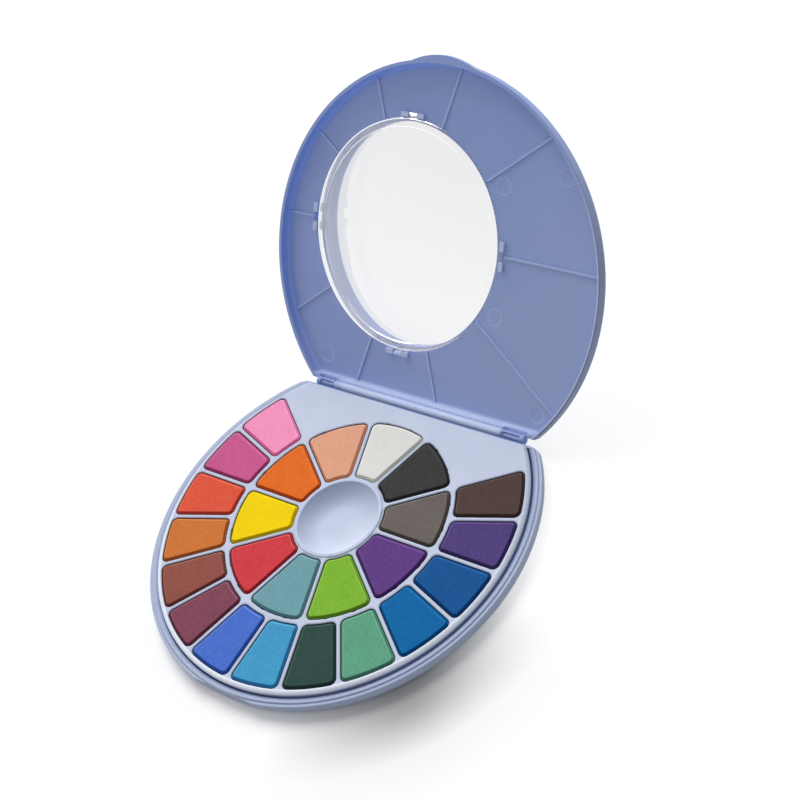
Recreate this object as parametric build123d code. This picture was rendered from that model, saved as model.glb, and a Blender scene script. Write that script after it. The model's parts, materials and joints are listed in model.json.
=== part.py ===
from build123d import *
import os
from math import asin, cos, radians, sin, sqrt

# Frame: origin at the centre of the case underside, X along the hinge, +Y towards the hinge, +Z up.
# All sizes are millimetres and angles are degrees, counted from +X towards +Y.
# The lid is built closed, then turned about the hinge line to the open rest position.

# Paint tray
tray_radius = 69.75
tray_rise = 1.6
tray_floor = 1.2
tray_border = 1.85
tray_edge_round = 1.1
tray_back_round = 0.4
tray_back_wall = 1.6
tray_deck = 1.3
divider = 1.6
divider_flat = 0.1
ring_divider = 2.0
outer_pocket_length = 24.55
back_deck_width = 5.05
pocket_corner = 2.2
well_radius = 15.3
well_floor_radius = 7.0
well_depth = 4.6
well_border = 2.0
well_rim_rise = 0.4
well_rim_width = 1.4
well_lip_round = 0.35

# Case base
case_rim_height = 5.8
case_tray_gap = 0.45
case_chord_gap = 0.25
case_rim_width = 2.1
case_step_width = 1.2
case_step_drop = 0.5
case_floor = 1.4
case_back_wall = 0.9
case_bottom_round = 3.5
case_back_round = 0.8
case_rim_round = 0.3
case_rim_slope_width = 1.2
case_rim_slope_drop = 0.4
case_corner_round = 1.0
case_shoulder_round = 12.0
thumb_facet_depth = 1.4

# Paint cakes
cake_gap = 0.15
cake_rise = 0.3
cake_lip = 0.3
cake_bevel = 0.7
outer_cake_step = 18.0
inner_cake_step = 36.0
first_cake_angle = 144.0
outer_cake_names = (
    "pink", "magenta", "red_orange", "ochre", "brown_red", "wine", "ultramarine",
    "light_blue", "dark_green", "emerald", "cerulean", "deep_blue", "violet", "dark_brown",
)
inner_cake_names = (
    "orange", "yellow", "red", "grey_teal", "lime_green",
    "plum", "taupe", "black", "white", "peach",
)

# Hinge
hinge_drop = 0.3
hinge_wall_gap = 0.2
knuckle_radius = 1.6
knuckle_end_inset = 2.75
knuckle_cap = 1.1
left_knuckle_length = 8.0
right_knuckle_length = 9.6
barrel_relief = 0.05
barrel_end_gap = 0.25
pin_radius = 0.85
pin_running_gap = 0.08
pin_end_gap = 0.25
snap_slot_squeeze = 0.1
snap_slot_tilt = 25.0
snap_slot_inset = 0.5

# Lid
lid_inset = 0.4
lid_rim_gap = 0.1
lid_wall = 1.2
lid_depth = 3.7
lid_panel = 1.5
lid_inner_round = 1.5
lid_outer_round = 3.0
lid_rim_round = 0.3
lid_tray_gap = 0.7
lid_back_wall = 1.5
lid_corner_round = 1.0
lid_open_angle = 130.4
knuckle_clearance = 0.3
thumb_tab_reach = 1.8
thumb_tab_radius = 32.0
thumb_tab_height = 1.7
rib_step = 36.0
rib_width = 0.8
rib_height = 0.5
ejector_mark_radius = 2.9
ejector_mark_depth = 0.15
ejector_mark_insets = ((7.4, 139.0), (5.9, 41.5), (5.2, 323.0), (28.4, 309.4))

# Window
window_x = -13.9
window_y = -8.8
window_radius = 40.3
pane_margin = 1.4
pane_bevel = 0.7
pane_thickness = 1.2
pane_step = 1.0
pane_step_gap = 0.15
pane_gap = 0.2
pane_tab_count = 4
pane_tab_width = 4.6
pane_tab_reach = 1.9
pane_tab_thickness = 0.7
pane_tab_gap = 0.15
bracket_width = 2.6
bracket_lip = 0.6
bracket_cap = 0.5
bracket_gap = 0.08

# Places that follow from the sizes above
tray_top = case_rim_height + tray_rise
outer_pocket_limit = tray_radius - tray_border
pocket_edge_round = (min(divider, 2 * (tray_border - tray_edge_round)) - divider_flat) / 2
ring_divider_radius = outer_pocket_limit - outer_pocket_length - ring_divider / 2
tray_chord = ring_divider_radius + ring_divider / 2 + back_deck_width
inner_pocket_limit = well_radius + well_border
pocket_floor = case_floor + tray_floor
case_inner_radius = tray_radius + case_tray_gap
case_rim_radius = case_inner_radius + case_rim_width
case_radius = case_rim_radius + case_step_width
case_inner_chord = tray_chord + case_chord_gap
case_chord = case_inner_chord + case_back_wall
hinge_y = case_chord + hinge_wall_gap + knuckle_radius
hinge_z = case_rim_height - hinge_drop
knuckle_end = sqrt(tray_radius ** 2 - tray_chord ** 2) - knuckle_end_inset
left_knuckle_end = left_knuckle_length - knuckle_end
right_knuckle_end = knuckle_end - right_knuckle_length
barrel_left = left_knuckle_end + barrel_end_gap
barrel_right = right_knuckle_end - barrel_end_gap
pin_left = knuckle_cap + pin_end_gap - knuckle_end
pin_right = knuckle_end - knuckle_cap - pin_end_gap
barrel_radius = knuckle_radius - barrel_relief
lid_radius = case_rim_radius - lid_inset
lid_rim_z = case_rim_height + lid_rim_gap
panel_z = lid_rim_z + lid_depth
lid_top = panel_z + lid_panel
lid_inner_radius = lid_radius - lid_wall
lid_inner_chord = tray_chord + lid_tray_gap
lid_chord = lid_inner_chord + lid_back_wall
window_place = Pos(window_x, window_y, 0)
pane_radius = window_radius + pane_margin
pane_z = panel_z - pane_thickness
pane_seat_radius = pane_radius + pane_gap
tab_end_radius = pane_radius + pane_tab_reach
tab_z = panel_z - pane_tab_thickness
bracket_lip_z = tab_z - bracket_gap
bracket_z = bracket_lip_z - bracket_cap
far = 2 * (case_radius + lid_radius)


def point_at(radius, angle):
    return (radius * cos(radians(angle)), radius * sin(radians(angle)))


def disc(radius, bottom, top):
    return Pos(0, 0, bottom) * extrude(Circle(radius), amount=top - bottom)


def block(low, high):
    size = [b - a for a, b in zip(low, high)]
    centre = [(a + b) / 2 for a, b in zip(low, high)]
    return Pos(*centre) * Box(*size)


def in_front_of(chord):
    """Everything on the front side of a straight cut across the disc."""
    return block((-far, -far, -far), (far, chord, far))


def bar(radius, left, right):
    """A round bar along the hinge line."""
    start = Plane(origin=(left, hinge_y, hinge_z), z_dir=(1, 0, 0))
    return extrude(start * Circle(radius), amount=right - left)


def top_edges(solid):
    return solid.faces().sort_by(Axis.Z)[-1].edges()


def bottom_edges(solid):
    return solid.faces().sort_by(Axis.Z)[0].edges()


def cut_disc(radius, chord, corner, bottom, top):
    """A disc with one straight side, its two corners rounded."""
    shape = Circle(radius) & Pos(0, chord - far, 0) * Rectangle(2 * far, 2 * far)
    shape = fillet(shape.vertices(), corner)
    return Pos(0, 0, bottom) * extrude(shape, amount=top - bottom)


def sector(inner, outer, centre_angle, half_angle, side_gap, corner):
    """A ring sector whose straight sides stand side_gap away from the radial lines."""
    apex = side_gap / sin(radians(half_angle))
    left = point_at(far, half_angle)
    right = point_at(far, -half_angle)
    wedge = Polygon((apex, 0), (apex + right[0], right[1]), (apex + left[0], left[1]), align=None)
    shape = (Circle(outer) - Circle(inner)) & wedge
    shape = fillet(shape.vertices(), corner)
    return Rot(0, 0, centre_angle) * shape


def cake_places():
    """Name, centre angle, half angle and radii of each pocket, counted from the first one."""
    places = []
    inner_edge = ring_divider_radius + ring_divider / 2
    outer_edge = ring_divider_radius - ring_divider / 2
    for i, colour in enumerate(outer_cake_names):
        angle = first_cake_angle + outer_cake_step * (i + 0.5)
        name = f"cake_outer_{i + 1:02d}_{colour}"
        places.append((name, angle, outer_cake_step / 2, inner_edge, outer_pocket_limit))
    for i, colour in enumerate(inner_cake_names):
        angle = first_cake_angle + inner_cake_step * (i + 0.5)
        name = f"cake_inner_{i + 1:02d}_{colour}"
        places.append((name, angle, inner_cake_step / 2, inner_pocket_limit, outer_edge))
    return places


def pocket_outline(place, inset):
    """The pocket's outline, drawn in by inset on every side."""
    angle, half, inner, outer = place[1:]
    corner = pocket_corner - inset
    return sector(inner + inset, outer - inset, angle, half, divider / 2 + inset, corner)


def make_cake(place):
    """A pressed cake: a straight foot, a narrow lip, and a raised top with a sloping edge."""
    top_z = tray_top + cake_rise
    lip_z = top_z - cake_bevel
    foot = Pos(0, 0, pocket_floor) * extrude(pocket_outline(place, cake_gap), amount=lip_z - pocket_floor)
    core_outline = pocket_outline(place, cake_gap + cake_lip)
    core = Pos(0, 0, pocket_floor) * extrude(core_outline, amount=top_z - pocket_floor)
    core = chamfer(top_edges(core), cake_bevel)
    return foot + core


def make_knuckle(left, right, bore_left, bore_right):
    """One end knuckle of the case: its web, its blind bore and the slot the pin snaps through."""
    web = block((left, case_inner_chord, hinge_z - knuckle_radius), (right, hinge_y, hinge_z))
    knuckle = bar(knuckle_radius, left, right) + web
    bore = bar(pin_radius + pin_running_gap, bore_left, bore_right)
    slot_left = max(left, bore_left) + snap_slot_inset
    slot_right = min(right, bore_right) - snap_slot_inset
    slot_half = pin_radius - snap_slot_squeeze
    slot = block((slot_left, -slot_half, 0), (slot_right, slot_half, 2 * knuckle_radius))
    slot = Pos(0, hinge_y, hinge_z) * Rot(snap_slot_tilt, 0, 0) * slot
    return knuckle - bore - slot


def case_wall():
    """The outside of the case: the round wall, the step and the rim band, before it is hollowed."""
    step_z = case_rim_height - case_step_drop
    wall = disc(case_radius, 0, step_z)
    wall = fillet(bottom_edges(wall), case_bottom_round)
    wall = fillet(top_edges(wall), case_rim_round)
    rim = disc(case_rim_radius, step_z, case_rim_height)
    rim = fillet(top_edges(rim), case_rim_round)
    facet_y = thumb_facet_depth - case_radius
    shell = wall - block((-far, -far, -far), (far, facet_y, step_z)) + rim
    outline = cut_disc(case_radius + case_step_width, case_chord, case_shoulder_round, 0, case_rim_height)
    outline = fillet(bottom_edges(outline).filter_by(Axis.X), case_back_round)
    return shell & outline


def make_case_base():
    cavity = cut_disc(case_inner_radius, case_inner_chord, case_corner_round, case_floor, case_rim_height)
    slope_z = case_rim_height - case_rim_slope_drop
    slope_top = case_inner_radius + case_rim_slope_width
    slope = Solid.make_cone(case_inner_radius, slope_top, case_rim_slope_drop, Plane((0, 0, slope_z)))
    shell = case_wall() - cavity - (slope & in_front_of(case_inner_chord))
    bore_left = knuckle_cap - knuckle_end
    bore_right = knuckle_end - knuckle_cap
    shell += make_knuckle(-knuckle_end, left_knuckle_end, bore_left, left_knuckle_end + knuckle_cap)
    shell += make_knuckle(right_knuckle_end, knuckle_end, right_knuckle_end - knuckle_cap, bore_right)
    return shell


def make_well():
    """The hollow of the mixing well: a flat floor and a round wall that leans out to the rim."""
    high = tray_top + well_rim_rise
    low = high - well_depth
    run = well_radius - well_floor_radius
    wall_radius = (run ** 2 + well_depth ** 2) / (2 * well_depth)
    middle = asin(run / wall_radius) / 2
    bend = (well_floor_radius + wall_radius * sin(middle), low + wall_radius * (1 - cos(middle)))
    wall = ThreePointArc((well_floor_radius, low), bend, (well_radius, high))
    sides = Polyline((well_radius, high), (well_radius, far), (0, far), (0, low), (well_floor_radius, low))
    return revolve(Plane.XZ * make_face([wall, *sides.edges()]), Axis.Z)


def make_tray_hollow():
    """The space under the flat area by the hinge, where the tray is only a deck and walls."""
    inner = ring_divider_radius + ring_divider
    outer = tray_radius - tray_back_wall
    half_angle = first_cake_angle - 90
    shape = sector(inner, outer, 90, half_angle, divider / 2 + tray_back_wall, pocket_corner)
    hollow = Pos(0, 0, case_floor) * extrude(shape, amount=tray_top - tray_deck - case_floor)
    return hollow & in_front_of(tray_chord - tray_back_wall)


def make_paint_tray():
    body = disc(tray_radius, case_floor, tray_top)
    body = fillet(top_edges(body), tray_edge_round) & in_front_of(tray_chord)
    body = fillet(top_edges(body).filter_by(Axis.X), tray_back_round)
    for place in cake_places():
        body -= Pos(0, 0, pocket_floor) * extrude(pocket_outline(place, 0), amount=tray_top)
    deck = body.faces().sort_by(Axis.Z)[-1]
    pocket_edges = [edge for wire in deck.inner_wires() for edge in wire.edges()]
    body = fillet(pocket_edges, pocket_edge_round)
    rim = disc(well_radius + well_rim_width, pocket_floor, tray_top + well_rim_rise)
    rim = fillet(top_edges(rim), well_rim_rise)
    body = body + rim - make_well()
    lip = top_edges(body).filter_by(GeomType.CIRCLE).sort_by(SortBy.RADIUS)[0]
    body = fillet(lip, well_lip_round)
    return body - make_tray_hollow()


def lid_outside():
    """The closed lid as a solid block: round wall, straight back, thumb tab and rounded top."""
    body = cut_disc(lid_radius, lid_chord, lid_corner_round, lid_rim_z, lid_top)
    body = fillet(top_edges(body).filter_by(GeomType.CIRCLE), lid_outer_round)
    tab_y = thumb_tab_radius - lid_radius - thumb_tab_reach
    tab = Pos(0, tab_y, 0) * disc(thumb_tab_radius, lid_rim_z, lid_rim_z + thumb_tab_height)
    tab = fillet(top_edges(tab), lid_rim_round)
    return body + tab


def make_brackets():
    """Beside each of the pane's tabs a pair of posts, each with a lip that snaps over the tab."""
    half_gap = pane_tab_width / 2 + pane_tab_gap
    post_end = half_gap + bracket_width
    post = block((pane_seat_radius, -post_end, bracket_z), (tab_end_radius, -half_gap, panel_z))
    lip_low = (pane_seat_radius, -half_gap, bracket_z)
    lip = block(lip_low, (tab_end_radius, bracket_lip - half_gap, bracket_lip_z))
    pair = [post + lip, mirror(post + lip, Plane.XZ)]
    turns = [360 / pane_tab_count * turn for turn in range(pane_tab_count)]
    return [Rot(0, 0, turn) * bracket for turn in turns for bracket in pair]


def make_ribs():
    """Low ribs that run from the pane's edge out to the lid's wall."""
    bar_low = (pane_seat_radius, -rib_width / 2, panel_z - rib_height)
    rib = block(bar_low, (far, rib_width / 2, panel_z + rib_height))
    count = round(360 / rib_step)
    ribs = [Rot(0, 0, rib_step * i) * rib for i in range(count)]
    inside = cut_disc(lid_inner_radius, lid_inner_chord, lid_corner_round, lid_rim_z, panel_z + rib_height)
    return [(window_place * rib) & inside for rib in ribs]


def make_tab_room():
    """The space that each of the pane's tabs sits in, with its clearance."""
    half_gap = pane_tab_width / 2 + pane_tab_gap
    room_high = (tab_end_radius + pane_gap, half_gap, panel_z)
    room = block((pane_seat_radius, -half_gap, bracket_lip_z), room_high)
    return [Rot(0, 0, 360 / pane_tab_count * turn) * room for turn in range(pane_tab_count)]


def make_lid_shell():
    cavity = cut_disc(lid_inner_radius, lid_inner_chord, lid_inner_round, lid_rim_z, panel_z)
    cavity = fillet(top_edges(cavity), lid_inner_round)
    shell = lid_outside() - cavity
    notch_top = hinge_z + knuckle_radius + knuckle_clearance
    knuckle_room = knuckle_end + knuckle_clearance
    shell -= block((-knuckle_room, lid_inner_chord, lid_rim_z), (barrel_left, far, notch_top))
    shell -= block((barrel_right, lid_inner_chord, lid_rim_z), (knuckle_room, far, notch_top))
    shell += bar(barrel_radius, barrel_left, barrel_right)
    shell += bar(pin_radius, pin_left, pin_right)
    for bracket in make_brackets():
        shell += window_place * bracket
    for rib in make_ribs():
        shell += rib
    for room in make_tab_room():
        shell -= window_place * room
    shell -= window_place * disc(window_radius, panel_z - lid_depth, lid_top + lid_panel)
    for inset, angle in ejector_mark_insets:
        x, y = point_at(lid_inner_radius - inset, angle)
        shell -= Pos(x, y, 0) * disc(ejector_mark_radius, panel_z, panel_z + ejector_mark_depth)
    return shell.rotate(Axis((0, hinge_y, hinge_z), (1, 0, 0)), -lid_open_angle)


def make_window_pane():
    """The clear pane: a flange behind the panel, a step that fills the window, and four tabs."""
    pane = disc(pane_radius, pane_z, panel_z)
    pane = chamfer(bottom_edges(pane), pane_bevel)
    pane += disc(window_radius - pane_step_gap, pane_z, panel_z + pane_step)
    tab_low = (window_radius, -pane_tab_width / 2, tab_z)
    tab = block(tab_low, (tab_end_radius, pane_tab_width / 2, panel_z))
    for turn in range(pane_tab_count):
        pane += Rot(0, 0, 360 / pane_tab_count * turn) * tab
    pane = window_place * pane
    return pane.rotate(Axis((0, hinge_y, hinge_z), (1, 0, 0)), -lid_open_angle)


def make_everything():
    """Every separate piece of the part, by name."""
    pieces = {"case_base": make_case_base(), "paint_tray": make_paint_tray()}
    for place in cake_places():
        pieces[place[0]] = make_cake(place)
    pieces["lid_shell"] = make_lid_shell()
    pieces["window_pane"] = make_window_pane()
    return pieces


if __name__ == "__main__":
    os.makedirs("parts", exist_ok=True)
    for name, solid in make_everything().items():
        print(name, round(solid.volume, 1), "mm3, solids:", len(solid.solids()), "valid:", solid.is_valid)
        export_step(solid, f"parts/{name}.step")
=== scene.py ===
# %% [markdown]
# # A round watercolour set, open on the table
#
# The real object is a flat round plastic case with a lid on a snap hinge. In the case lies a
# paler tray with wedge-shaped pockets, each pocket holds a pressed cake of watercolour, and
# the lid has a round clear window held by four small tabs.
#
# The CAD frame already holds the moulded pieces to size. This lesson loads it, sets up the
# camera and the studio, gives the plastics their finish, and then builds the pieces whose
# charm is in their surface, above all the paint cakes, as grids of points worked out with numpy.

# %% Load the frame and keep its nodes and record
import json
import bpy
import numpy as np
from mathutils import Matrix, Vector


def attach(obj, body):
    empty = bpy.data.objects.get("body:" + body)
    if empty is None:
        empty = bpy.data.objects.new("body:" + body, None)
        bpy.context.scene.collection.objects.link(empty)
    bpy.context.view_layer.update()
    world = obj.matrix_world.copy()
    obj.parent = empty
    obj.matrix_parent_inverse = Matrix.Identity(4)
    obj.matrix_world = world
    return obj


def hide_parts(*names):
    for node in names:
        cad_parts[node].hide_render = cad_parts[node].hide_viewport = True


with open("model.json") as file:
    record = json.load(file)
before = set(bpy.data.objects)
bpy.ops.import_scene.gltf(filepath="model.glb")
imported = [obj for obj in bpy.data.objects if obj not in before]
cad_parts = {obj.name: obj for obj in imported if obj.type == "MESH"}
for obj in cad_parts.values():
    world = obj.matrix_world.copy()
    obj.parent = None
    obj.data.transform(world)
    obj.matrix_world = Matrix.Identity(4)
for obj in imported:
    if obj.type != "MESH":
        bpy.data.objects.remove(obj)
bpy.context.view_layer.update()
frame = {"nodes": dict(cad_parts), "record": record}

nodes = frame["nodes"]

# %% [markdown]
# ## Units and colours
#
# The frame is in metres, but the parts of a paint set are easier to think of in millimetres,
# so one constant turns millimetres into metres. Colours are easiest to pick as they look on
# a screen, while shaders want linear light, so a small helper converts them.

# %% Helpers for units and colours
MM = 0.001


def linear(red, green, blue):
    """A screen colour of 0 to 255 as linear light: each channel is divided by 255 and raised
    by the sRGB curve."""
    c = np.array([red, green, blue]) / 255.0
    c = np.where(c <= 0.04045, c / 12.92, ((c + 0.055) / 1.055) ** 2.4)
    return (float(c[0]), float(c[1]), float(c[2]), 1.0)


print("mid grey in linear light:", round(linear(128, 128, 128)[0], 3))

# %% [markdown]
# ## The camera
#
# The photograph looks down at the set from its front right corner, and it is turned on its
# side by about thirty degrees, so the hinge runs down to the right. A camera can be aimed
# with a Track To constraint, but a constraint has no roll. Building its three axes from the
# point that it looks at and then turning them is plain to read and holds the roll.

# %% Aim the camera and roll it
camera_place = Vector((386.92, -206.51, 462.32)) * MM
camera_target = Vector((-7.65, 51.73, 7.4)) * MM
camera_roll = -30.45
camera_lens = 82.0

camera_data = bpy.data.cameras.new("camera")
camera_data.lens = camera_lens
camera_data.sensor_width = 36.0
camera_data.clip_start = 0.01
camera_data.clip_end = 50.0
camera = bpy.data.objects.new("camera", camera_data)
bpy.context.scene.collection.objects.link(camera)
looking = (camera_target - camera_place).normalized()
aimed = looking.to_track_quat("-Z", "Y").to_matrix().to_4x4()
rolled = Matrix.Rotation(np.radians(camera_roll), 4, "Z")
camera.matrix_world = Matrix.Translation(camera_place) @ aimed @ rolled
bpy.context.scene.camera = camera
print("camera is", round((camera_target - camera_place).length, 3), "m from what it looks at")

# %% [markdown]
# ## The table and the light
#
# The set is shown on a white sheet: one soft lamp high behind it on the left, and pale light
# from everywhere else. The lamp skims over the tray, so one wall of each pocket is bright and
# the other is dark, and it leaves the inside of the lid in softer light. The floor is a big flat
# sheet. A camera sees white paper as white when the light on it and a little lift add up to one.
# In front of the set the sheet keeps its whole shadow, and behind the hinge more of its white is
# lift, as on a light table, so the shadow of the lid stays faint there. In the photograph the set
# leans back on its edge, with air under its front, and its shadow is wide. This one lies flat, so
# its own shadow is narrow, and the sheet has a soft grey tone in front that stands in for the rest.

# %% The floor sheet
floor_half = 6.0
floor_mesh = bpy.data.meshes.new("floor")
floor_corners = floor_half * np.array([[-1, -1, 0], [1, -1, 0], [1, 1, 0], [-1, 1, 0]], float)
floor_mesh.from_pydata(floor_corners.tolist(), [], [(0, 1, 2, 3)])
floor = bpy.data.objects.new("floor", floor_mesh)
bpy.context.scene.collection.objects.link(floor)


def new_material(name):
    """A material with an empty node tree, its output and one Principled shader."""
    material = bpy.data.materials.new(name)
    material.use_nodes = True
    tree = material.node_tree
    tree.nodes.clear()
    output = tree.nodes.new("ShaderNodeOutputMaterial")
    shader = tree.nodes.new("ShaderNodeBsdfPrincipled")
    tree.links.new(shader.outputs["BSDF"], output.inputs["Surface"])
    return material, tree, shader


def math_node(tree, operation, first, second=None):
    """A Math node: a number is set on its socket, and anything else is linked to it."""
    node = tree.nodes.new("ShaderNodeMath")
    node.operation = operation
    for socket, value in zip(node.inputs, (first, second)):
        if value is None:
            continue
        if isinstance(value, (int, float)):
            socket.default_value = value
        else:
            tree.links.new(value, socket)
    return node.outputs[0]


def seen_directly(tree):
    """1 for light that goes to the camera, straight, off a gloss or through the window."""
    ray = tree.nodes.new("ShaderNodeLightPath").outputs
    straight = math_node(tree, "MAXIMUM", ray["Is Camera Ray"], ray["Is Glossy Ray"])
    return math_node(tree, "MAXIMUM", straight, ray["Is Transmission Ray"])


def remap(tree, value, low, high, to_low, to_high):
    """A Map Range node that clamps."""
    node = tree.nodes.new("ShaderNodeMapRange")
    limits = {"From Min": low, "From Max": high, "To Min": to_low, "To Max": to_high}
    for label, number in limits.items():
        node.inputs[label].default_value = number
    tree.links.new(value, node.inputs["Value"])
    return node.outputs["Result"]


def along(tree, vector, direction):
    """How far a point lies along a direction: their dot product."""
    node = tree.nodes.new("ShaderNodeVectorMath")
    node.operation = "DOT_PRODUCT"
    tree.links.new(vector, node.inputs[0])
    node.inputs[1].default_value = direction
    return node.outputs["Value"]


def distance_from(tree, place, point):
    """How far a place is from a point."""
    node = tree.nodes.new("ShaderNodeVectorMath")
    node.operation = "DISTANCE"
    tree.links.new(place, node.inputs[0])
    node.inputs[1].default_value = point
    return node.outputs["Value"]


sheet_bounce = 0.86
sheet_white = 1.05
sheet_roughness, sheet_gloss = 0.9, 0.1
shadow_keep_front = 0.97
shadow_keep_back = 0.22
front_direction = (0.285, -0.959, 0.0)
front_starts, front_full = 5 * MM, 55 * MM
painted_shadow_direction = (0.78, -0.62, 0.0)
painted_shadow_side_full, painted_shadow_side_none = np.radians(4), np.radians(36)
# where each of the painted shadow's two parts starts to fade, where it is gone, and how deep it is
painted_shadow_core = (82 * MM, 98 * MM, 0.46)
painted_shadow_edge = (86 * MM, 116 * MM, 0.16)


def floor_material():
    """White paper. What the camera sees is keep * light + (white - keep), where keep, the share
    of the shadow that shows, runs from the back value to the front value along the floor, and
    all of it is darkened by the tone, a painted shadow, which fades away from the set and to both
    sides."""
    material, tree, shader = new_material("white_sheet")
    shader.inputs["Roughness"].default_value = sheet_roughness
    shader.inputs["Specular IOR Level"].default_value = sheet_gloss
    shader.inputs["Emission Color"].default_value = (1.0, 1.0, 1.0, 1.0)
    place = tree.nodes.new("ShaderNodeTexCoord").outputs["Object"]
    front = along(tree, place, front_direction)
    keep = remap(tree, front, front_starts, front_full, shadow_keep_back, shadow_keep_front)
    seen = seen_directly(tree)
    away = distance_from(tree, place, (0.0, 0.0, 0.0))
    # the painted shadow: two parts that fade with the distance from the set, kept to a wedge in front
    parts = [remap(tree, away, fades, gone, depth, 0.0)
             for fades, gone, depth in (painted_shadow_core, painted_shadow_edge)]
    cosine = math_node(tree, "DIVIDE", along(tree, place, painted_shadow_direction), away)
    angle = math_node(tree, "ARCCOSINE", cosine)
    middle = remap(tree, angle, painted_shadow_side_full, painted_shadow_side_none, 1.0, 0.0)
    tone = math_node(tree, "MULTIPLY", middle, math_node(tree, "ADD", *parts))
    clear = math_node(tree, "SUBTRACT", 1.0, tone)
    tint = tree.nodes.new("ShaderNodeMix")
    tint.data_type = "FLOAT"
    tint.inputs["A"].default_value = sheet_bounce
    tree.links.new(seen, tint.inputs["Factor"])
    tree.links.new(math_node(tree, "MULTIPLY", keep, clear), tint.inputs["B"])
    tree.links.new(tint.outputs["Result"], shader.inputs["Base Color"])
    lift = math_node(tree, "MULTIPLY", clear, math_node(tree, "SUBTRACT", sheet_white, keep))
    tree.links.new(math_node(tree, "MULTIPLY", seen, lift), shader.inputs["Emission Strength"])
    return material


floor.data.materials.append(floor_material())
print("floor is", 2 * floor_half, "m across")

# %% The world and the lamp
ambient_level = 0.42
ambient_slant = 0.18
key_strength = 2.0
key_spread = np.radians(38)
key_direction = Vector((-0.48, 0.48, 0.73)).normalized()
tent_colour = (0.97, 0.98, 1.0, 1.0)
key_colour = (1.0, 0.99, 0.975)

world = bpy.data.worlds.new("light_tent")
world.use_nodes = True
bpy.context.scene.world = world
sky = world.node_tree
sky.nodes.clear()
sky_out = sky.nodes.new("ShaderNodeOutputWorld")
sky_light = sky.nodes.new("ShaderNodeBackground")
sky_light.inputs["Color"].default_value = tent_colour
toward = sky.nodes.new("ShaderNodeTexCoord").outputs["Generated"]
slant = math_node(sky, "MULTIPLY", along(sky, toward, key_direction), ambient_slant)
tent = math_node(sky, "ADD", slant, ambient_level)
shown = seen_directly(sky)
unseen = math_node(sky, "SUBTRACT", 1.0, shown)
sky_level = math_node(sky, "ADD", shown, math_node(sky, "MULTIPLY", unseen, tent))
sky.links.new(sky_level, sky_light.inputs["Strength"])
sky.links.new(sky_light.outputs[0], sky_out.inputs["Surface"])

lamp = bpy.data.lights.new("key_lamp", "SUN")
lamp.energy = key_strength
lamp.angle = key_spread
lamp.color = key_colour
key_lamp = bpy.data.objects.new("key_lamp", lamp)
bpy.context.scene.collection.objects.link(key_lamp)
key_lamp.matrix_world = (-key_direction).to_track_quat("-Z", "Y").to_matrix().to_4x4()
bpy.context.scene.view_settings.view_transform = "Standard"
from_tent = ambient_level + ambient_slant * key_direction.z * 2 / 3
from_key = key_strength / np.pi * key_direction.z
print("light on a level surface:", round(from_tent + from_key, 2))

# %% [markdown]
# ## Moulded plastic
#
# The case, the tray and the lid are polypropylene-like mouldings with a soft sheen. A
# plastic like this is never one flat colour: the mould leaves a very fine grain, the wall
# is a touch denser or paler from place to place, and handling dulls it in patches. All three
# plastics share these effects, so they are one node group with named inputs, and each
# material sets its own values. Bump from fine noise was chosen over real relief, because
# the grain is a few hundredths of a millimetre deep.

# %% The shared group for moulded plastic
COLOUR, NUMBER = "NodeSocketColor", "NodeSocketFloat"
drift_size, handling_size, grain_size = 38.0, 90.0, 2600.0


def new_group(name, inputs, outputs):
    """A shader node group with named sockets, each given as (name, kind, default)."""
    group = bpy.data.node_groups.new(name, "ShaderNodeTree")
    for label, kind, default in inputs:
        socket = group.interface.new_socket(label, in_out="INPUT", socket_type=kind)
        socket.default_value = default
    for label, kind in outputs:
        group.interface.new_socket(label, in_out="OUTPUT", socket_type=kind)
    return group, group.nodes.new("NodeGroupInput"), group.nodes.new("NodeGroupOutput")


def noise_node(tree, vector, scale, detail=2.0, roughness=0.5):
    """A Noise Texture on the given coordinates."""
    node = tree.nodes.new("ShaderNodeTexNoise")
    node.inputs["Scale"].default_value = scale
    node.inputs["Detail"].default_value = detail
    node.inputs["Roughness"].default_value = roughness
    tree.links.new(vector, node.inputs["Vector"])
    return node.outputs["Fac"]


def mix_colour(tree, factor, first, second):
    """A Mix node for colours: a tuple is set on its socket, and anything else is linked."""
    node = tree.nodes.new("ShaderNodeMix")
    node.data_type = "RGBA"
    sockets = (node.inputs[0], node.inputs[6], node.inputs[7])
    for socket, value in zip(sockets, (factor, first, second)):
        if isinstance(value, (int, float, tuple)):
            socket.default_value = value
        else:
            tree.links.new(value, socket)
    return node.outputs[2]


def make_moulded_group():
    """Moulded plastic: colour that drifts a little, patches of wear in the sheen, fine grain."""
    group, inside, outside = new_group(
        "moulded_plastic",
        [("Colour", COLOUR, (0.5, 0.5, 0.6, 1.0)), ("Deep Colour", COLOUR, (0.4, 0.4, 0.5, 1.0)),
         ("Drift", NUMBER, 0.25), ("Sheen Low", NUMBER, 0.3), ("Sheen High", NUMBER, 0.42)],
        [("Colour", COLOUR), ("Roughness", NUMBER), ("Height", NUMBER)],
    )
    place = group.nodes.new("ShaderNodeTexCoord").outputs["Object"]
    drift = remap(group, noise_node(group, place, drift_size, 3.0), 0.3, 0.7, 0.0, 1.0)
    amount = math_node(group, "MULTIPLY", drift, inside.outputs["Drift"])
    shade = mix_colour(group, amount, inside.outputs["Colour"], inside.outputs["Deep Colour"])
    group.links.new(shade, outside.inputs["Colour"])
    handling = remap(group, noise_node(group, place, handling_size, 4.0), 0.35, 0.65, 0.0, 1.0)
    low, high = inside.outputs["Sheen Low"], inside.outputs["Sheen High"]
    rise = math_node(group, "MULTIPLY", handling, math_node(group, "SUBTRACT", high, low))
    group.links.new(math_node(group, "ADD", rise, low), outside.inputs["Roughness"])
    grain = noise_node(group, place, grain_size, 2.0)
    group.links.new(grain, outside.inputs["Height"])
    return group


moulded_group = make_moulded_group()


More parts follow.
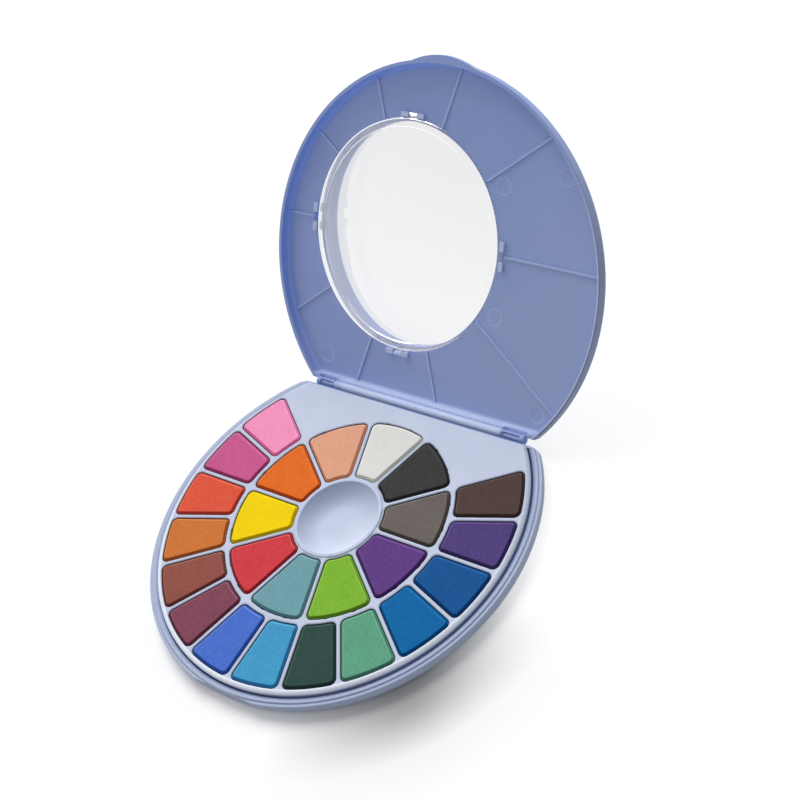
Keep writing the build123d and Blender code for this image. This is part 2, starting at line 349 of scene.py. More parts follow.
def group_in(tree, group, values):
    """Places a node group in a material and sets the inputs that are given."""
    node = tree.nodes.new("ShaderNodeGroup")
    node.node_tree = group
    for label, value in values.items():
        node.inputs[label].default_value = value
    return node


def bump_from(tree, height, strength, distance):
    """A Bump node, its distance in metres."""
    node = tree.nodes.new("ShaderNodeBump")
    node.inputs["Strength"].default_value = strength
    node.inputs["Distance"].default_value = distance
    tree.links.new(height, node.inputs["Height"])
    return node.outputs["Normal"]


print("group sockets:", [s.name for s in moulded_group.interface.items_tree])

# %% [markdown]
# The three plastics differ in tone, and each has places of its own, most of them painted light
# and shade. On the case the band beside the tray is painted paler than the wall below it, and the
# gap round the tray has painted shade. On the tray the rounded outer edge has a painted highlight,
# and the pockets, the gap and the well have painted shade and light. The lid is thin enough for
# light to come through its wall: a little passes under its skin, and a deeper blue glow is painted
# on the inside of the wall on the side of the lamp. Its ribs, brackets, inner edge, the band above
# the hinge and the rings round its ejector marks have painted highlights, its outer wall away from
# the lamp has painted shade, and a painted sheen lies across its right side. These places are found
# from the coordinates of the piece.
# The lid's mesh is stored open, so a Mapping node turns its coordinates back about the hinge
# to the closed lid, where the panel is level and every feature has one height.

# %% Masks from the coordinates of a piece
hinge = frame["record"]["behaviour"]["joints"][0]
hinge_place = Vector(hinge["pos_m"])
lid_open_angle = np.radians(130.4)
closing_turn = Matrix.Rotation(lid_open_angle, 3, "X")


def object_place(tree):
    """Object coordinates, in metres."""
    return tree.nodes.new("ShaderNodeTexCoord").outputs["Object"]


def closed_lid_place(tree):
    """Object coordinates turned about the hinge to the closed lid: R * (p - h) + h."""
    mapping = tree.nodes.new("ShaderNodeMapping")
    mapping.vector_type = "POINT"
    mapping.inputs["Rotation"].default_value = (lid_open_angle, 0.0, 0.0)
    mapping.inputs["Location"].default_value = hinge_place - closing_turn @ hinge_place
    tree.links.new(object_place(tree), mapping.inputs["Vector"])
    return mapping.outputs["Vector"]


def axes_of(tree, place):
    """The x, y and z of a place and its distance from the frame's upright axis."""
    split = tree.nodes.new("ShaderNodeSeparateXYZ")
    tree.links.new(place, split.inputs["Vector"])
    x, y, z = split.outputs
    squares = [math_node(tree, "MULTIPLY", side, side) for side in (x, y)]
    radius = math_node(tree, "SQRT", math_node(tree, "ADD", *squares))
    return x, y, z, radius


def above(tree, value, edge, soft):
    """0 below an edge and 1 above it, over a soft width; all in millimetres."""
    return remap(tree, value, (edge - soft / 2) * MM, (edge + soft / 2) * MM, 0.0, 1.0)


def below(tree, value, edge, soft):
    """1 below an edge and 0 above it."""
    return remap(tree, value, (edge - soft / 2) * MM, (edge + soft / 2) * MM, 1.0, 0.0)


def ramp(tree, value, low, high):
    """0 at low and 1 at high, which may be the smaller one; both in millimetres."""
    return remap(tree, value, low * MM, high * MM, 0.0, 1.0)


def product(tree, *masks):
    """Masks multiplied together."""
    result = masks[0]
    for mask in masks[1:]:
        result = math_node(tree, "MULTIPLY", result, mask)
    return result


def ring_mask(tree, place, centre, radius, width):
    """1 on a thin ring about a centre on the closed lid's panel."""
    reach = distance_from(tree, place, Vector(centre) * MM)
    away = math_node(tree, "ABSOLUTE", math_node(tree, "SUBTRACT", reach, radius * MM))
    return below(tree, away, width / 2, width / 2)


def lay(tree, shade, mask, tone):
    """A tone, given as a screen colour and a strength, laid over the shade where the mask is."""
    colour, strength = tone
    return mix_colour(tree, math_node(tree, "MULTIPLY", mask, strength), shade, linear(*colour))


print("hinge at", [round(v / MM, 2) for v in hinge_place], "mm")

# %% The moulded plastic and the node it goes on
plastic_ior = 1.49
plastic_gloss = 0.3
grain_strength, grain_depth = 0.25, 0.03 * MM
skin_reach, skin_scale = (0.35, 0.5, 1.0), 1.2 * MM


def moulded_plastic(name, colour, deep, drift, sheen, touches, glow=0.0):
    """A plastic from the shared group. colour and deep are screen colours, touches is a function
    that lays the piece's own places over them, and glow is how much light passes under the skin."""
    material, tree, shader = new_material(name)
    values = {"Colour": linear(*colour), "Deep Colour": linear(*deep), "Drift": drift,
              "Sheen Low": sheen[0], "Sheen High": sheen[1]}
    effects = group_in(tree, moulded_group, values)
    tree.links.new(touches(tree, effects.outputs["Colour"]), shader.inputs["Base Color"])
    tree.links.new(effects.outputs["Roughness"], shader.inputs["Roughness"])
    normal = bump_from(tree, effects.outputs["Height"], grain_strength, grain_depth)
    tree.links.new(normal, shader.inputs["Normal"])
    shader.inputs["IOR"].default_value = plastic_ior
    shader.inputs["Specular IOR Level"].default_value = plastic_gloss
    shader.inputs["Subsurface Weight"].default_value = glow
    shader.inputs["Subsurface Radius"].default_value = skin_reach
    shader.inputs["Subsurface Scale"].default_value = skin_scale
    return material


def give(node_name, material):
    """Puts one material on a CAD node."""
    mesh = nodes[node_name].data
    mesh.materials.clear()
    mesh.materials.append(material)


print("plastic functions are ready")

# %% The case: a band painted paler, painted shade round the tray, and a greyer wall
case_step = 5.3
case_floor = 1.4
case_back = 48.6
groove_radius = 70.8
# the band is painted light on the top, the gap round the tray gets painted shade, and the hinge tone is
# the case's own bluer colour
case_colours_and_painted_light = {"band": ((168, 180, 208), 1.0), "painted_groove_shade": ((98, 114, 166), 0.7),
              "hinge": ((148, 170, 222), 1.0)}


def case_touches(tree, shade):
    """Painted light makes the band on top paler, painted shade darkens the gap round the tray, and the
    case is bluer at the hinge.
    """
    _, y, z, radius = axes_of(tree, object_place(tree))
    front = below(tree, y, case_back, 0.4)
    high = above(tree, z, case_step - 0.15, 0.3)
    # painted light: the band on top is painted paler than the wall below it
    shade = lay(tree, shade, product(tree, high, front), case_colours_and_painted_light["band"])
    # painted shade: down in the gap between the case and the tray
    beside_tray = below(tree, radius, groove_radius, 0.9)
    painted_groove_shade = product(tree, beside_tray, above(tree, z, case_floor + 0.2, 0.2), front)
    shade = lay(tree, shade, painted_groove_shade, case_colours_and_painted_light["painted_groove_shade"])
    return lay(tree, shade, above(tree, y, case_back + 0.4, 0.4), case_colours_and_painted_light["hinge"])


give("case_base", moulded_plastic("case_plastic", (160, 170, 196), (148, 160, 189), 0.3,
                                  (0.42, 0.56), case_touches))
print("case plastic given")

# %% The tray: a painted highlight on its rounded outer edge, and painted shade down in the pockets
outer_limit = 67.9
inner_limit = 17.3
border_level = 6.4
skirt_level = 6.2
pocket_shade_level = 7.1
well_radius = 15.3
lamp_level_way = (-0.71, 0.71, 0.0)
# all of these are painted light: a highlight on the rounded outer edge, shade in the gap, in the
# pockets and in the well, and light across the well
tray_painted_light = {"painted_border_highlight": ((234, 240, 252), 1.0), "painted_skirt_shade": ((112, 128, 178), 0.7),
              "pocket": ((34, 30, 50), 0.95), "well_painted_shade": ((140, 156, 198), 0.4),
              "well_painted_light": ((226, 233, 248), 0.6)}


def tray_touches(tree, shade):
    """A painted highlight makes the rounded outer edge paler, most of all at the front. Painted shade
    darkens the lower side in the gap and the pockets down beside the cakes, and the well goes from
    painted shade on the side of the lamp to painted light across from it."""
    _, y, z, radius = axes_of(tree, object_place(tree))
    # painted highlight on the rounded outer edge, strongest at the front
    painted_border_highlight = product(tree, above(tree, radius, outer_limit + 0.2, 0.4),
                     above(tree, z, border_level, 0.8))
    front = remap(tree, y, -30 * MM, 30 * MM, 0.85, 0.1)
    shade = lay(tree, shade, product(tree, painted_border_highlight, front), tray_painted_light["painted_border_highlight"])
    # painted shade on the tray's lower side down in the gap
    painted_skirt_shade = product(tree, above(tree, radius, outer_limit + 1.3, 0.3), below(tree, z, skirt_level, 0.6))
    shade = lay(tree, shade, painted_skirt_shade, tray_painted_light["painted_skirt_shade"])
    past_well = above(tree, radius, inner_limit - 0.1, 0.1)
    inside_border = below(tree, radius, outer_limit + 0.1, 0.1)
    # painted shade down in the pockets beside the cakes
    deep = product(tree, past_well, inside_border, below(tree, z, pocket_shade_level, 0.3))
    shade = lay(tree, shade, deep, tray_painted_light["pocket"])
    # painted shade in the well on the side of the lamp, and painted light across from it
    well = below(tree, radius, well_radius, 0.3)
    across = along(tree, object_place(tree), lamp_level_way)
    shade = lay(tree, shade, product(tree, well, ramp(tree, across, 4, 15)), tray_painted_light["well_painted_shade"])
    return lay(tree, shade, product(tree, well, ramp(tree, across, 0, -13)), tray_painted_light["well_painted_light"])


give("paint_tray", moulded_plastic("tray_plastic", (192, 201, 223), (184, 194, 218), 0.35,
                                   (0.44, 0.55), tray_touches))
print("tray plastic given")

# %% The lid: a painted glow on the wall, painted highlights on ribs and ejector marks, and painted shade outside
panel_level = 9.6
rib_level = 9.1
rim_level = 5.9
clip_level, clip_reach = 8.7, 62.0
hinge_wall = 49.1
lid_wall_inside = 70.7
between_faces = 71.05
ejector_radius, ejector_line = 2.9, 0.42
# how far each mark lies inside the wall, and its angle in degrees
ejector_places = ((7.4, 139.0), (5.9, 41.5), (5.2, 323.0), (28.4, 309.4), (40.4, 24.9))
lamp_side = (-0.75, -0.66, 0.0)
painted_sheen_side = (0.8, 0.6, 0.0)
# every tone here is painted light: a sheen, a glow, shade on the outer wall, and highlights
lid_painted_light = {"painted_sheen": ((180, 192, 226), 0.5), "glow": ((122, 164, 250), 0.6),
             "outside": ((112, 124, 156), 0.8), "inner_edge": ((222, 230, 250), 0.8),
             "raised": ((205, 216, 245), 0.35), "clip": ((216, 226, 248), 0.5),
             "painted_fold_highlight": ((190, 205, 245), 0.25), "ejector": ((200, 212, 242), 0.55)}


def lid_touches(tree, shade):
    """On the closed lid's coordinates, all painted light: a paler painted sheen on the right, a
    deeper blue painted glow on the wall towards the lamp, painted shade on the outer wall away from
    it, a thin painted highlight at the inner edge of the wall's top, painted highlights on the ribs,
    the brackets and the band above the hinge, and thin painted highlights round the ejector marks."""
    place = closed_lid_place(tree)
    _, y, z, radius = axes_of(tree, place)
    # painted sheen: paler towards the right of the closed lid
    shade = lay(tree, shade, ramp(tree, along(tree, place, painted_sheen_side), -10, 70), lid_painted_light["painted_sheen"])
    towards_lamp = along(tree, place, lamp_side)
    away = ramp(tree, towards_lamp, 0, -45)
    wall = product(tree, above(tree, radius, lid_wall_inside - 1.6, 1.4),
                   below(tree, radius, between_faces - 0.05, 0.3))
    # painted glow: a deeper blue on the inside of the wall towards the lamp
    glow = product(tree, wall, ramp(tree, towards_lamp, 10, 55), above(tree, z, rim_level + 0.2, 0.3))
    shade = lay(tree, shade, glow, lid_painted_light["glow"])
    # painted shade on the outer wall away from the lamp
    outside = product(tree, above(tree, radius, between_faces, 0.2), away)
    shade = lay(tree, shade, outside, lid_painted_light["outside"])
    # painted highlight: a thin pale line at the inner edge of the wall's top, away from the lamp
    at_rim = product(tree, below(tree, z, rim_level + 0.3, 0.3), away)
    inner_edge = product(tree, at_rim, above(tree, radius, lid_wall_inside - 0.2, 0.1),
                         below(tree, radius, between_faces, 0.2))
    shade = lay(tree, shade, inner_edge, lid_painted_light["inner_edge"])
    # painted highlight on the ribs and edges that stand off the panel
    raised = product(tree, below(tree, z, (panel_level + rib_level) / 2, 0.2),
                     below(tree, radius, lid_wall_inside - 1.4, 0.4))
    shade = lay(tree, shade, raised, lid_painted_light["raised"])
    # painted highlight on the brackets
    clip = product(tree, below(tree, z, clip_level, 0.2), below(tree, radius, clip_reach, 2.0))
    shade = lay(tree, shade, clip, lid_painted_light["clip"])
    # painted highlight on the band above the hinge
    painted_fold_highlight = product(tree, above(tree, y, hinge_wall - 0.6, 0.8), below(tree, z, panel_level - 0.4, 0.5))
    shade = lay(tree, shade, painted_fold_highlight, lid_painted_light["painted_fold_highlight"])
    # painted highlight: a thin pale ring round each ejector mark
    for inset, angle in ejector_places:
        reach, turn = lid_wall_inside - inset, np.radians(angle)
        centre = (reach * np.cos(turn), reach * np.sin(turn), panel_level)
        ring = ring_mask(tree, place, centre, ejector_radius, ejector_line)
        shade = lay(tree, shade, ring, lid_painted_light["ejector"])
    return shade


give("lid_shell", moulded_plastic("lid_plastic", (154, 174, 225), (144, 164, 217), 0.4,
                                  (0.4, 0.52), lid_touches, glow=0.2))
print("lid plastic given")

# %% [markdown]
# ## The paint cakes
#
# Each cake is damp pigment pressed into its pocket by a die. The die leaves a flat top, a
# sloping edge and a narrow lip below it, and the dried surface is dull with fine specks of
# unmixed pigment. A box with a bevel would look machined, so each cake is one surface: a
# profile carried along the pocket's outline. The outline's own normals move the profile
# inwards, the top runs in rings to the middle, and slow waves a few hundredths of a
# millimetre high keep the pressed top from being perfect.

# %% The outline of a pocket
divider = 1.6
pocket_corner = 2.2
ring_divider_radius = 42.35
ring_divider = 2.0
outer_ring = (ring_divider_radius + ring_divider / 2, outer_limit)
inner_ring = (inner_limit, ring_divider_radius - ring_divider / 2)
outer_step, inner_step = 18.0, 36.0


def arc_points(centre, radius, start, stop, count):
    """count points of an arc, and the outward normals of its circle there: the centre plus
    the radius times (cos, sin) of angles that run evenly from start to stop."""
    angle = np.linspace(start, stop, count)
    normal = np.stack([np.cos(angle), np.sin(angle)], axis=1)
    return np.asarray(centre) + radius * normal, normal


def pocket_path(inner, outer, half_angle, side_gap, corner):
    """A ring sector with round corners, symmetric about +X, as points and inward normals.

    Its straight sides are side_gap away from the radial lines. A corner's centre lies a
    corner radius in from both of its edges: at distance outer - corner (or inner + corner)
    from the ring's centre and side_gap + corner from the radial line."""
    sides = np.radians(half_angle)
    reach_out = np.arcsin((side_gap + corner) / (outer - corner))
    reach_in = np.arcsin((side_gap + corner) / (inner + corner))
    tilt = sides - reach_out
    low_tilt = sides - reach_in
    far_centre = (outer - corner) * np.array([np.cos(tilt), np.sin(tilt)])
    near_centre = (inner + corner) * np.array([np.cos(low_tilt), np.sin(low_tilt)])
    quarter = np.pi / 2
    corner_steps, arc_steps, side_steps = 9, 26, 22
    outside, outside_n = arc_points((0, 0), outer, -tilt, tilt, arc_steps)
    far_corner, far_n = arc_points(far_centre, corner, tilt, sides + quarter, corner_steps)
    near_corner, near_n = arc_points(near_centre, corner, sides + quarter, low_tilt + np.pi,
                                     corner_steps)
    inside, inside_n = arc_points((0, 0), inner, low_tilt, -low_tilt, arc_steps)
    run = np.linspace(0, 1, side_steps)[1:-1, None]
    side = far_corner[-1] * (1 - run) + near_corner[0] * run
    side_n = np.repeat(far_n[-1:], len(side), axis=0)
    flip = np.array([1.0, -1.0])
    upper = [outside, far_corner[1:], side, near_corner]
    upper_n = [outside_n, far_n[1:], side_n, near_n]
    lower = [near_corner[::-1] * flip, side[::-1] * flip, far_corner[::-1][:-1] * flip]
    lower_n = [near_n[::-1] * flip, side_n[::-1] * flip, far_n[::-1][:-1] * flip]
    points = np.concatenate(upper + [inside[1:-1]] + lower)
    normals = -np.concatenate(upper_n + [-inside_n[1:-1]] + lower_n)
    return points, normals


outline, _ = pocket_path(*outer_ring, outer_step / 2, divider / 2, pocket_corner)
print("outer pocket outline:", len(outline), "points, first", outline[0].round(2))

# %% The cake as a profile carried along the outline
cake_top = 7.7
cake_profile = np.array([
    (0.30, 2.60), (0.17, 2.75), (0.15, 4.40), (0.15, 6.72), (0.18, 6.88), (0.26, 6.96), (0.36, 6.99),
    (0.44, 7.02), (0.50, 7.09), (0.62, 7.24), (0.78, 7.42), (0.92, 7.57), (1.02, 7.65), (1.13, 7.69),
    (1.32, 7.70), (1.65, 7.70),
])
foot_end, bevel_end, line_end = 0.2, 1.0, 1.2
# painted light on each cake: painted shade on the slope, deeper on the side away from the lamp, and a
# painted highlight round the top
slope_painted_shade_near, slope_painted_shade_far = 0.7, 0.15
painted_highlight_tone = -0.9
away_from_lamp = (0.71, -0.71)
wobble_height, wobble_size = 0.035, 6.0
sag_height, sag_size = 0.05, 9.0
grit_height, grit_size = 0.016, 1.9
top_rings = 15


def slow_waves(x, y, seed, size, count=12):
    """A smooth random height: the mean of cosines with random directions and phases, whose
    wavelengths lie around size."""
    draw = np.random.default_rng(seed)
    turn = draw.uniform(0, 2 * np.pi, count)
    wave = 2 * np.pi / (size * draw.uniform(0.6, 1.7, count))
    phase = draw.uniform(0, 2 * np.pi, count)
    distance = x[..., None] * np.cos(turn) + y[..., None] * np.sin(turn)
    return np.cos(distance * wave + phase).mean(axis=-1)


def turned(x, y, angle):
    """Plan coordinates turned about the origin: (x cos - y sin, x sin + y cos)."""
    return x * np.cos(angle) - y * np.sin(angle), x * np.sin(angle) + y * np.cos(angle)


def grid_faces(rows, columns):
    """Quads of a grid of points, row after row, whose last column is joined to the first."""
    row = np.arange(rows - 1)[:, None] * columns
    column = np.arange(columns)[None, :]
    following = (column + 1) % columns
    corners = [row + column, row + following, row + columns + following, row + columns + column]
    return np.stack([corner.reshape(-1) for corner in corners], axis=1)


def mesh_object(name, points, faces):
    """A smooth mesh object at the origin, from points in metres and faces as rows of indices."""
    mesh = bpy.data.meshes.new(name)
    mesh.from_pydata(points.tolist(), [], [[int(i) for i in face] for face in faces])
    mesh.polygons.foreach_set("use_smooth", np.full(len(mesh.polygons), True))
    mesh.validate()
    mesh.update()
    made = bpy.data.objects.new(name, mesh)
    bpy.context.scene.collection.objects.link(made)
    return made


def cake_surface(inner, outer, half_angle, centre_angle, seed):
    """Points of one cake and the painted light of each: 1, painted shade, down in the gap, under 1,
    painted shade, on the sloping edge, deeper on the near side, away from the lamp, than on the side
    of the lamp, and under 0, a painted highlight, on the outline of the top.

    Point (u, v) is outline(u) + inset(v) * normal(u) at height(v); beyond the profile the
    rings run straight to the cake's middle. The slow waves shift insets and heights."""
    points, normals = pocket_path(inner, outer, half_angle, divider / 2, pocket_corner)
    inset = cake_profile[:, 0][:, None]
    height = np.repeat(cake_profile[:, 1][:, None], len(points), axis=1)
    wobble = wobble_height * slow_waves(*points.T, seed, wobble_size)
    rings = points[None] + (inset + wobble * (inset > 2 * foot_end))[..., None] * normals[None]
    middle = rings[-1].mean(axis=0)
    shrink = np.linspace(0, 1, top_rings)[1:-1][:, None, None]
    inner_rings = rings[-1] * (1 - shrink) + middle * shrink
    plan = np.concatenate([rings, inner_rings])
    x, y = plan[..., 0], plan[..., 1]
    height = np.concatenate([height, np.full(inner_rings.shape[:2], cake_profile[-1, 1])])
    on_top = np.clip((height - cake_top) / 0.3 + 1, 0, 1)
    sag = sag_height * slow_waves(x, y, seed + 50, sag_size)
    grit = grit_height * slow_waves(x, y, seed + 90, grit_size, 24)
    turn = np.radians(centre_angle)
    grid = np.stack([*turned(x, y, turn), height + on_top * (sag + grit)], axis=-1)
    outward_x, outward_y = turned(*-normals.T, turn)
    # the painted shade on the slope is deeper where the edge faces away from the lamp
    facing = outward_x * away_from_lamp[0] + outward_y * away_from_lamp[1]
    near = np.clip(0.5 + facing, 0, 1)[None]
    painted_slope_shade = slope_painted_shade_far + (slope_painted_shade_near - slope_painted_shade_far) * near
    tone = np.where(inset < bevel_end, painted_slope_shade, painted_highlight_tone * (1 - near))
    tone = np.where(inset < foot_end, 1.0, tone)
    painted_light_tone = np.zeros(height.shape)
    painted_light_tone[: len(inset)] = np.where(inset < line_end, tone, 0.0)
    rows, columns = height.shape
    foot, top = np.arange(columns)[::-1], np.arange(columns) + (rows - 1) * columns
    return grid.reshape(-1, 3) * MM, [*grid_faces(rows, columns), foot, top], painted_light_tone.reshape(-1)


test_points, test_faces, _ = cake_surface(*outer_ring, outer_step / 2, 0.0, 1)
print("one cake:", len(test_points), "points,", len(test_faces), "faces")

# %% [markdown]
# The cakes' finish is one node group too. It takes the pigment's colour, its deeper colour, which
# is also painted as shade on the sloping edge, and its pale colour, which also paints a highlight
# round the top, and the gap is painted near black. It scatters paler and darker specks at two sizes,
# and returns a dry, slightly uneven height for the bump. Where this painted light goes is found by an
# attribute that the surface function wrote, so it can't slide.

# %% The shared group for pressed pigment
pigment_drift_size = 120.0
pigment_grain_size = 1500.0
pale_grain, dark_grain = 0.16, 0.22
# size of the dots, size of the patches that they come in, and which colour they take
speck_kinds = ((900.0, 420.0, "Pale Speck And Painted Highlight Colour"), (640.0, 425.0, "Deep Pigment And Painted Shade Colour"))
# painted shade: the near black painted into the gap round each cake
painted_gap_shade_colour, painted_gap_shade_starts, painted_gap_shade_depth = (16, 12, 22), 0.75, 0.9


def make_pigment_group():
    """Pressed pigment: pale and dark specks over a slow drift, with painted light from the tone that
    the
    surface function wrote: over 0 it paints shade in the deeper colour and, where the gap starts,
    the dark of the gap, and under 0 a highlight in the pale speck colour."""
    group, inside, outside = new_group(
        "pressed_pigment",
        [("Colour", COLOUR, (0.5, 0.5, 0.5, 1.0)), ("Deep Pigment And Painted Shade Colour", COLOUR, (0.3, 0.3, 0.3, 1.0)),
         ("Pale Speck And Painted Highlight Colour", COLOUR, (0.8, 0.8, 0.8, 1.0)), ("Painted Light Tone", NUMBER, 0.0),
         ("Drift", NUMBER, 0.1), ("Specks", NUMBER, 0.38)],
        [("Colour", COLOUR), ("Height", NUMBER)],
    )
    given = inside.outputs
    place = group.nodes.new("ShaderNodeTexCoord").outputs["Object"]
    drift = remap(group, noise_node(group, place, pigment_drift_size, 3.0), 0.3, 0.7, 0.0, 1.0)
    drift = math_node(group, "MULTIPLY", drift, given["Drift"])
    base = mix_colour(group, drift, given["Colour"], given["Deep Pigment And Painted Shade Colour"])
    grain = noise_node(group, place, pigment_grain_size, 3.0, 0.75)
    pale = remap(group, grain, 0.5, 0.72, 0.0, pale_grain)
    dark = remap(group, grain, 0.5, 0.28, 0.0, dark_grain)
    base = mix_colour(group, pale, base, given["Pale Speck And Painted Highlight Colour"])
    base = mix_colour(group, dark, base, given["Deep Pigment And Painted Shade Colour"])
    for dot_size, patch_size, tint in speck_kinds:
        cells = group.nodes.new("ShaderNodeTexVoronoi")
        cells.inputs["Scale"].default_value = dot_size
        group.links.new(place, cells.inputs["Vector"])
        dots = remap(group, cells.outputs["Distance"], 0.12, 0.22, 1.0, 0.0)
        rare = remap(group, noise_node(group, place, patch_size, 1.0), 0.57, 0.63, 0.0, 1.0)
        base = mix_colour(group, product(group, dots, rare, given["Specks"]), base, given[tint])
    # painted highlight: the pale outline round the top
    line = remap(group, given["Painted Light Tone"], -1.0, 0.0, 1.0, 0.0)
    base = mix_colour(group, line, base, given["Pale Speck And Painted Highlight Colour"])
    # painted shade on the sloping edge
    painted_slope_shade = remap(group, given["Painted Light Tone"], 0.0, 1.0, 0.0, 1.0)
    base = mix_colour(group, painted_slope_shade, base, given["Deep Pigment And Painted Shade Colour"])
    # painted shade: near black down in the gap
    gap = remap(group, given["Painted Light Tone"], painted_gap_shade_starts, 1.0, 0.0, painted_gap_shade_depth)
    group.links.new(mix_colour(group, gap, base, linear(*painted_gap_shade_colour)), outside.inputs["Colour"])
    rough = noise_node(group, place, pigment_grain_size, 3.0, 0.6)
    group.links.new(rough, outside.inputs["Height"])
    return group


pigment_group = make_pigment_group()
pigment_roughness, pigment_gloss = 0.62, 0.05
pigment_bump, pigment_bump_depth = 0.5, 0.06 * MM


def pigment(name, colour, edge, speck):
    """A dull pressed pigment. The three colours are screen colours."""
    material, tree, shader = new_material(name)
    # edge is the deeper colour, also painted as shade on the slope, and speck also paints the highlight
    # round the top
    values = {"Colour": linear(*colour), "Deep Pigment And Painted Shade Colour": linear(*edge), "Pale Speck And Painted Highlight Colour": linear(*speck)}
    effects = group_in(tree, pigment_group, values)
    painted_light_tone = tree.nodes.new("ShaderNodeAttribute")
    painted_light_tone.attribute_name = "painted_light_tone"
    tree.links.new(painted_light_tone.outputs["Fac"], effects.inputs["Painted Light Tone"])
    tree.links.new(effects.outputs["Colour"], shader.inputs["Base Color"])
    normal = bump_from(tree, effects.outputs["Height"], pigment_bump, pigment_bump_depth)
    tree.links.new(normal, shader.inputs["Normal"])
    shader.inputs["Roughness"].default_value = pigment_roughness
    shader.inputs["Specular IOR Level"].default_value = pigment_gloss
    return material


# name: screen colour of the top, of the sloping edge (the deeper colour, also its painted shade) and of
# the specks (also the painted highlight)
outer_pigments = {
    "pink": ((250, 153, 196), (220, 92, 152), (255, 206, 226)),
    "magenta": ((206, 93, 146), (140, 34, 84), (236, 150, 186)),
    "red_orange": ((229, 89, 64), (156, 36, 30), (243, 148, 116)),
    "ochre": ((212, 121, 58), (138, 58, 24), (236, 165, 96)),
    "brown_red": ((149, 84, 74), (74, 28, 26), (192, 134, 114)),
    "wine": ((132, 72, 90), (70, 26, 42), (180, 122, 140)),
    "ultramarine": ((76, 115, 208), (20, 54, 140), (134, 170, 238)),
    "light_blue": ((71, 158, 205), (18, 92, 146), (124, 198, 228)),
    "dark_green": ((48, 75, 69), (18, 34, 33), (88, 118, 108)),
    "emerald": ((97, 166, 135), (42, 82, 66), (146, 208, 175)),
    "cerulean": ((8, 104, 168), (2, 50, 104), (46, 140, 200)),
    "deep_blue": ((18, 86, 150), (4, 40, 92), (60, 124, 184)),
    "violet": ((83, 65, 126), (38, 20, 74), (128, 108, 168)),
    "dark_brown": ((83, 65, 61), (36, 20, 18), (124, 100, 92)),
}
inner_pigments = {
    "orange": ((235, 113, 36), (160, 36, 14), (250, 168, 96)),
    "yellow": ((251, 217, 2), (170, 142, 2), (254, 232, 40)),
    "red": ((215, 64, 72), (124, 8, 20), (240, 128, 128)),
    "grey_teal": ((115, 164, 174), (64, 108, 114), (164, 198, 204)),
    "lime_green": ((130, 186, 54), (64, 104, 4), (172, 216, 112)),
    "plum": ((98, 63, 134), (44, 16, 72), (144, 110, 174)),
    "taupe": ((110, 102, 98), (48, 42, 40), (150, 142, 134)),
    "black": ((61, 60, 60), (20, 20, 22), (96, 96, 98)),
    "white": ((227, 226, 223), (188, 190, 172), (244, 244, 243)),
    "peach": ((229, 168, 138), (196, 112, 80), (245, 202, 180)),
}
print("pigments:", len(outer_pigments) + len(inner_pigments))

# %% Press the cakes into their pockets
first_divider = 144.0


def press_cakes(pigments, ring, limits, step, seed):
    """One cake for each pigment, counted on from the first divider's angle, standing in for its
    CAD node."""
    for i, (name, (colour, edge, speck)) in enumerate(pigments.items()):
        node_name = f"cake_{ring}_{i + 1:02d}_{name}"
        centre = first_divider + step * (i + 0.5)
        points, faces, painted_light_tone = cake_surface(*limits, step / 2, centre, seed + 7 * i)
        cake = mesh_object(f"pressed_{ring}_{i + 1:02d}_{name}", points, faces)
        attribute = cake.data.attributes.new("painted_light_tone", "FLOAT", "POINT")
        attribute.data.foreach_set("value", painted_light_tone)
        cake.data.materials.append(pigment(f"pigment_{name}", colour, edge, speck))
        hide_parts(node_name)
        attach(cake, "base")


press_cakes(outer_pigments, "outer", outer_ring, outer_step, 11)
press_cakes(inner_pigments, "inner", inner_ring, inner_step, 501)

# %% [markdown]
# ## The clear window
#
# The window is a clear moulded disc with a wider flange that lies against the lid's panel and
# four tabs that the brackets hold. Its edge shows bright and dark lines, because light that
# enters the flange is thrown back by its round wall. That only works if the edge is smooth and a
# thin film of air lies between the flange and the panel, so the disc is turned here from one
# profile. The tabs are the same surface, its outer rows pushed out over a few degrees. A second
# row close beside each corner keeps the flat faces flat where the shading is smooth, since a flat
# face whose normals lean would bend the view through the pane.

# %% The pane as a turned profile with four tabs
window_centre = (-13.9, -8.8)
flange_radius = 41.7
pane_columns = 180
tab_reach = 1.9
tab_half_width = 2.3
# radius, height on the closed lid, and how far a tab pushes the row out
pane_profile = np.array([
    (0.02, 8.72, 0), (20.0, 8.72, 0), (38.2, 8.72, 0), (38.3, 8.72, 0), (38.42, 8.70, 0),
    (38.50, 8.62, 0), (38.55, 8.50, 0), (38.62, 8.43, 0), (38.75, 8.40, 0), (38.85, 8.40, 0),
    (40.7, 8.40, 0), (40.8, 8.40, 0), (41.05, 8.44, 0), (41.3, 8.56, 0), (41.5, 8.74, 0),
    (41.62, 8.86, 0), (41.7, 8.90, 1), (41.7, 8.96, 1), (41.7, 9.44, 1), (41.7, 9.50, 1),
    (41.66, 9.54, 0), (41.6, 9.55, 0), (41.5, 9.55, 0), (40.35, 9.55, 0), (40.25, 9.55, 0),
    (40.17, 9.58, 0), (40.15, 9.66, 0), (40.15, 9.76, 0), (40.15, 10.35, 0), (40.13, 10.47, 0),
    (40.06, 10.56, 0), (39.95, 10.60, 0), (39.85, 10.60, 0), (20.0, 10.60, 0), (0.02, 10.60, 0),
])


def tab_columns(count):
    """Angles round the pane, with a pair of close columns at each side of each tab."""
    even = np.arange(count) * 2 * np.pi / count
    edge = np.arcsin(tab_half_width / (flange_radius + tab_reach))
    nudge = np.radians(0.03)
    quarter = np.pi / 2
    sides = [turn * quarter + side * edge + way * nudge
             for turn in range(4) for side in (-1, 1) for way in (-1, 1)]
    angles = np.sort(np.concatenate([even, np.mod(sides, 2 * np.pi)]))
    offset = np.abs(np.mod(angles + quarter / 2, quarter) - quarter / 2)
    return angles, (offset < edge) * 1.0


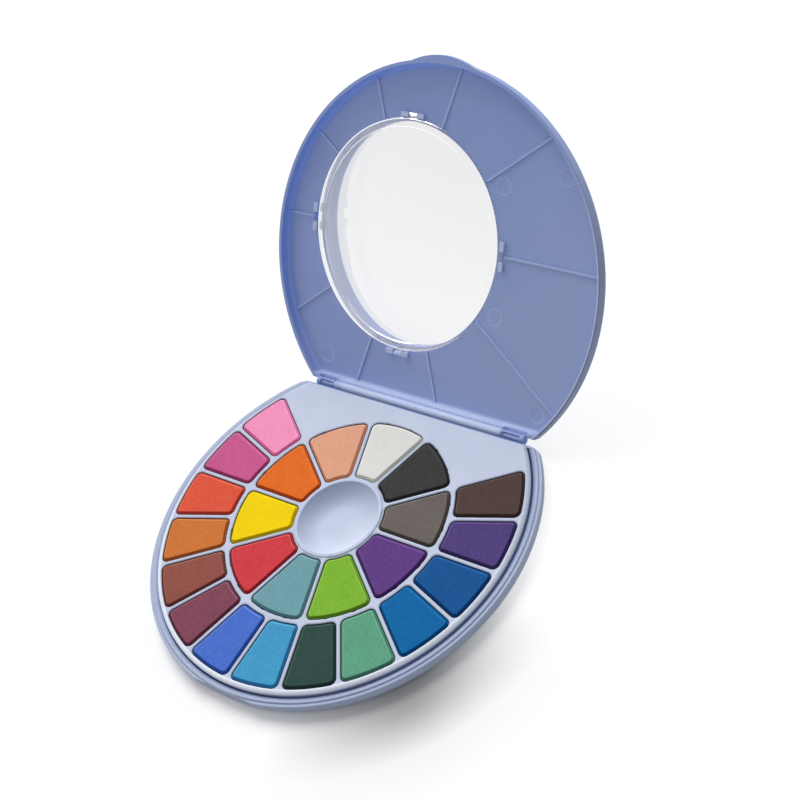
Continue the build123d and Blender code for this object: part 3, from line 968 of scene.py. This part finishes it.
def opened(points):
    """Points of the closed lid, in millimetres, turned open about the hinge, in metres: the
    inverse of the closing turn."""
    turn = np.array(closing_turn)
    pivot = np.array(hinge_place)
    return (points * MM - pivot) @ turn + pivot


def pane_surface():
    """Point (u, v) is centre + (radius(v) + tab(u) * push(v) * reach) * (cos u, sin u), at
    height(v). The corners of each face are listed so that the faces point inwards."""
    angles, tab = tab_columns(pane_columns)
    radius, height, push = pane_profile.T
    reach = radius[:, None] + push[:, None] * tab[None] * tab_reach
    x = window_centre[0] + reach * np.cos(angles)
    y = window_centre[1] + reach * np.sin(angles)
    z = np.repeat(height[:, None], len(angles), axis=1)
    grid = np.stack([x, y, z], axis=-1)
    rows, columns = grid.shape[:2]
    inner_end = np.arange(columns)
    outer_end = (inner_end + (rows - 1) * columns)[::-1]
    return opened(grid.reshape(-1, 3)), [*grid_faces(rows, columns)[:, ::-1], inner_end, outer_end]


pane_ior = 1.45
pane_low_tint, pane_high_tint = (0.86, 0.86, 0.86, 1.0), (0.76, 0.76, 0.765, 1.0)
pane_low, pane_high = 30 * MM, 90 * MM
haze_size, haze_most = 60.0, 0.03
shadow_passes = 0.85


def clear_plastic():
    """Clear moulded plastic: full transmission and a faint grey tint, deeper higher up. Most of
    each ray that only asks whether a lamp is hidden passes, so the panel behind the flange
    stays lit."""
    material, tree, shader = new_material("clear_pane")
    upright = tree.nodes.new("ShaderNodeSeparateXYZ")
    tree.links.new(object_place(tree), upright.inputs["Vector"])
    rise = remap(tree, upright.outputs["Z"], pane_low, pane_high, 0.0, 1.0)
    tree.links.new(mix_colour(tree, rise, pane_low_tint, pane_high_tint), shader.inputs["Base Color"])
    shader.inputs["Transmission Weight"].default_value = 1.0
    shader.inputs["IOR"].default_value = pane_ior
    haze = noise_node(tree, object_place(tree), haze_size, 3.0)
    tree.links.new(remap(tree, haze, 0.3, 0.7, 0.0, haze_most), shader.inputs["Roughness"])
    shadow = tree.nodes.new("ShaderNodeLightPath").outputs["Is Shadow Ray"]
    solid = math_node(tree, "SUBTRACT", 1.0, math_node(tree, "MULTIPLY", shadow, shadow_passes))
    tree.links.new(solid, shader.inputs["Alpha"])
    return material


pane_points, pane_faces = pane_surface()
pane = mesh_object("clear_window", pane_points, pane_faces)
pane.data.materials.append(clear_plastic())
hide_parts("window_pane")
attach(pane, "lid")
print("window pane:", len(pane_points), "points")
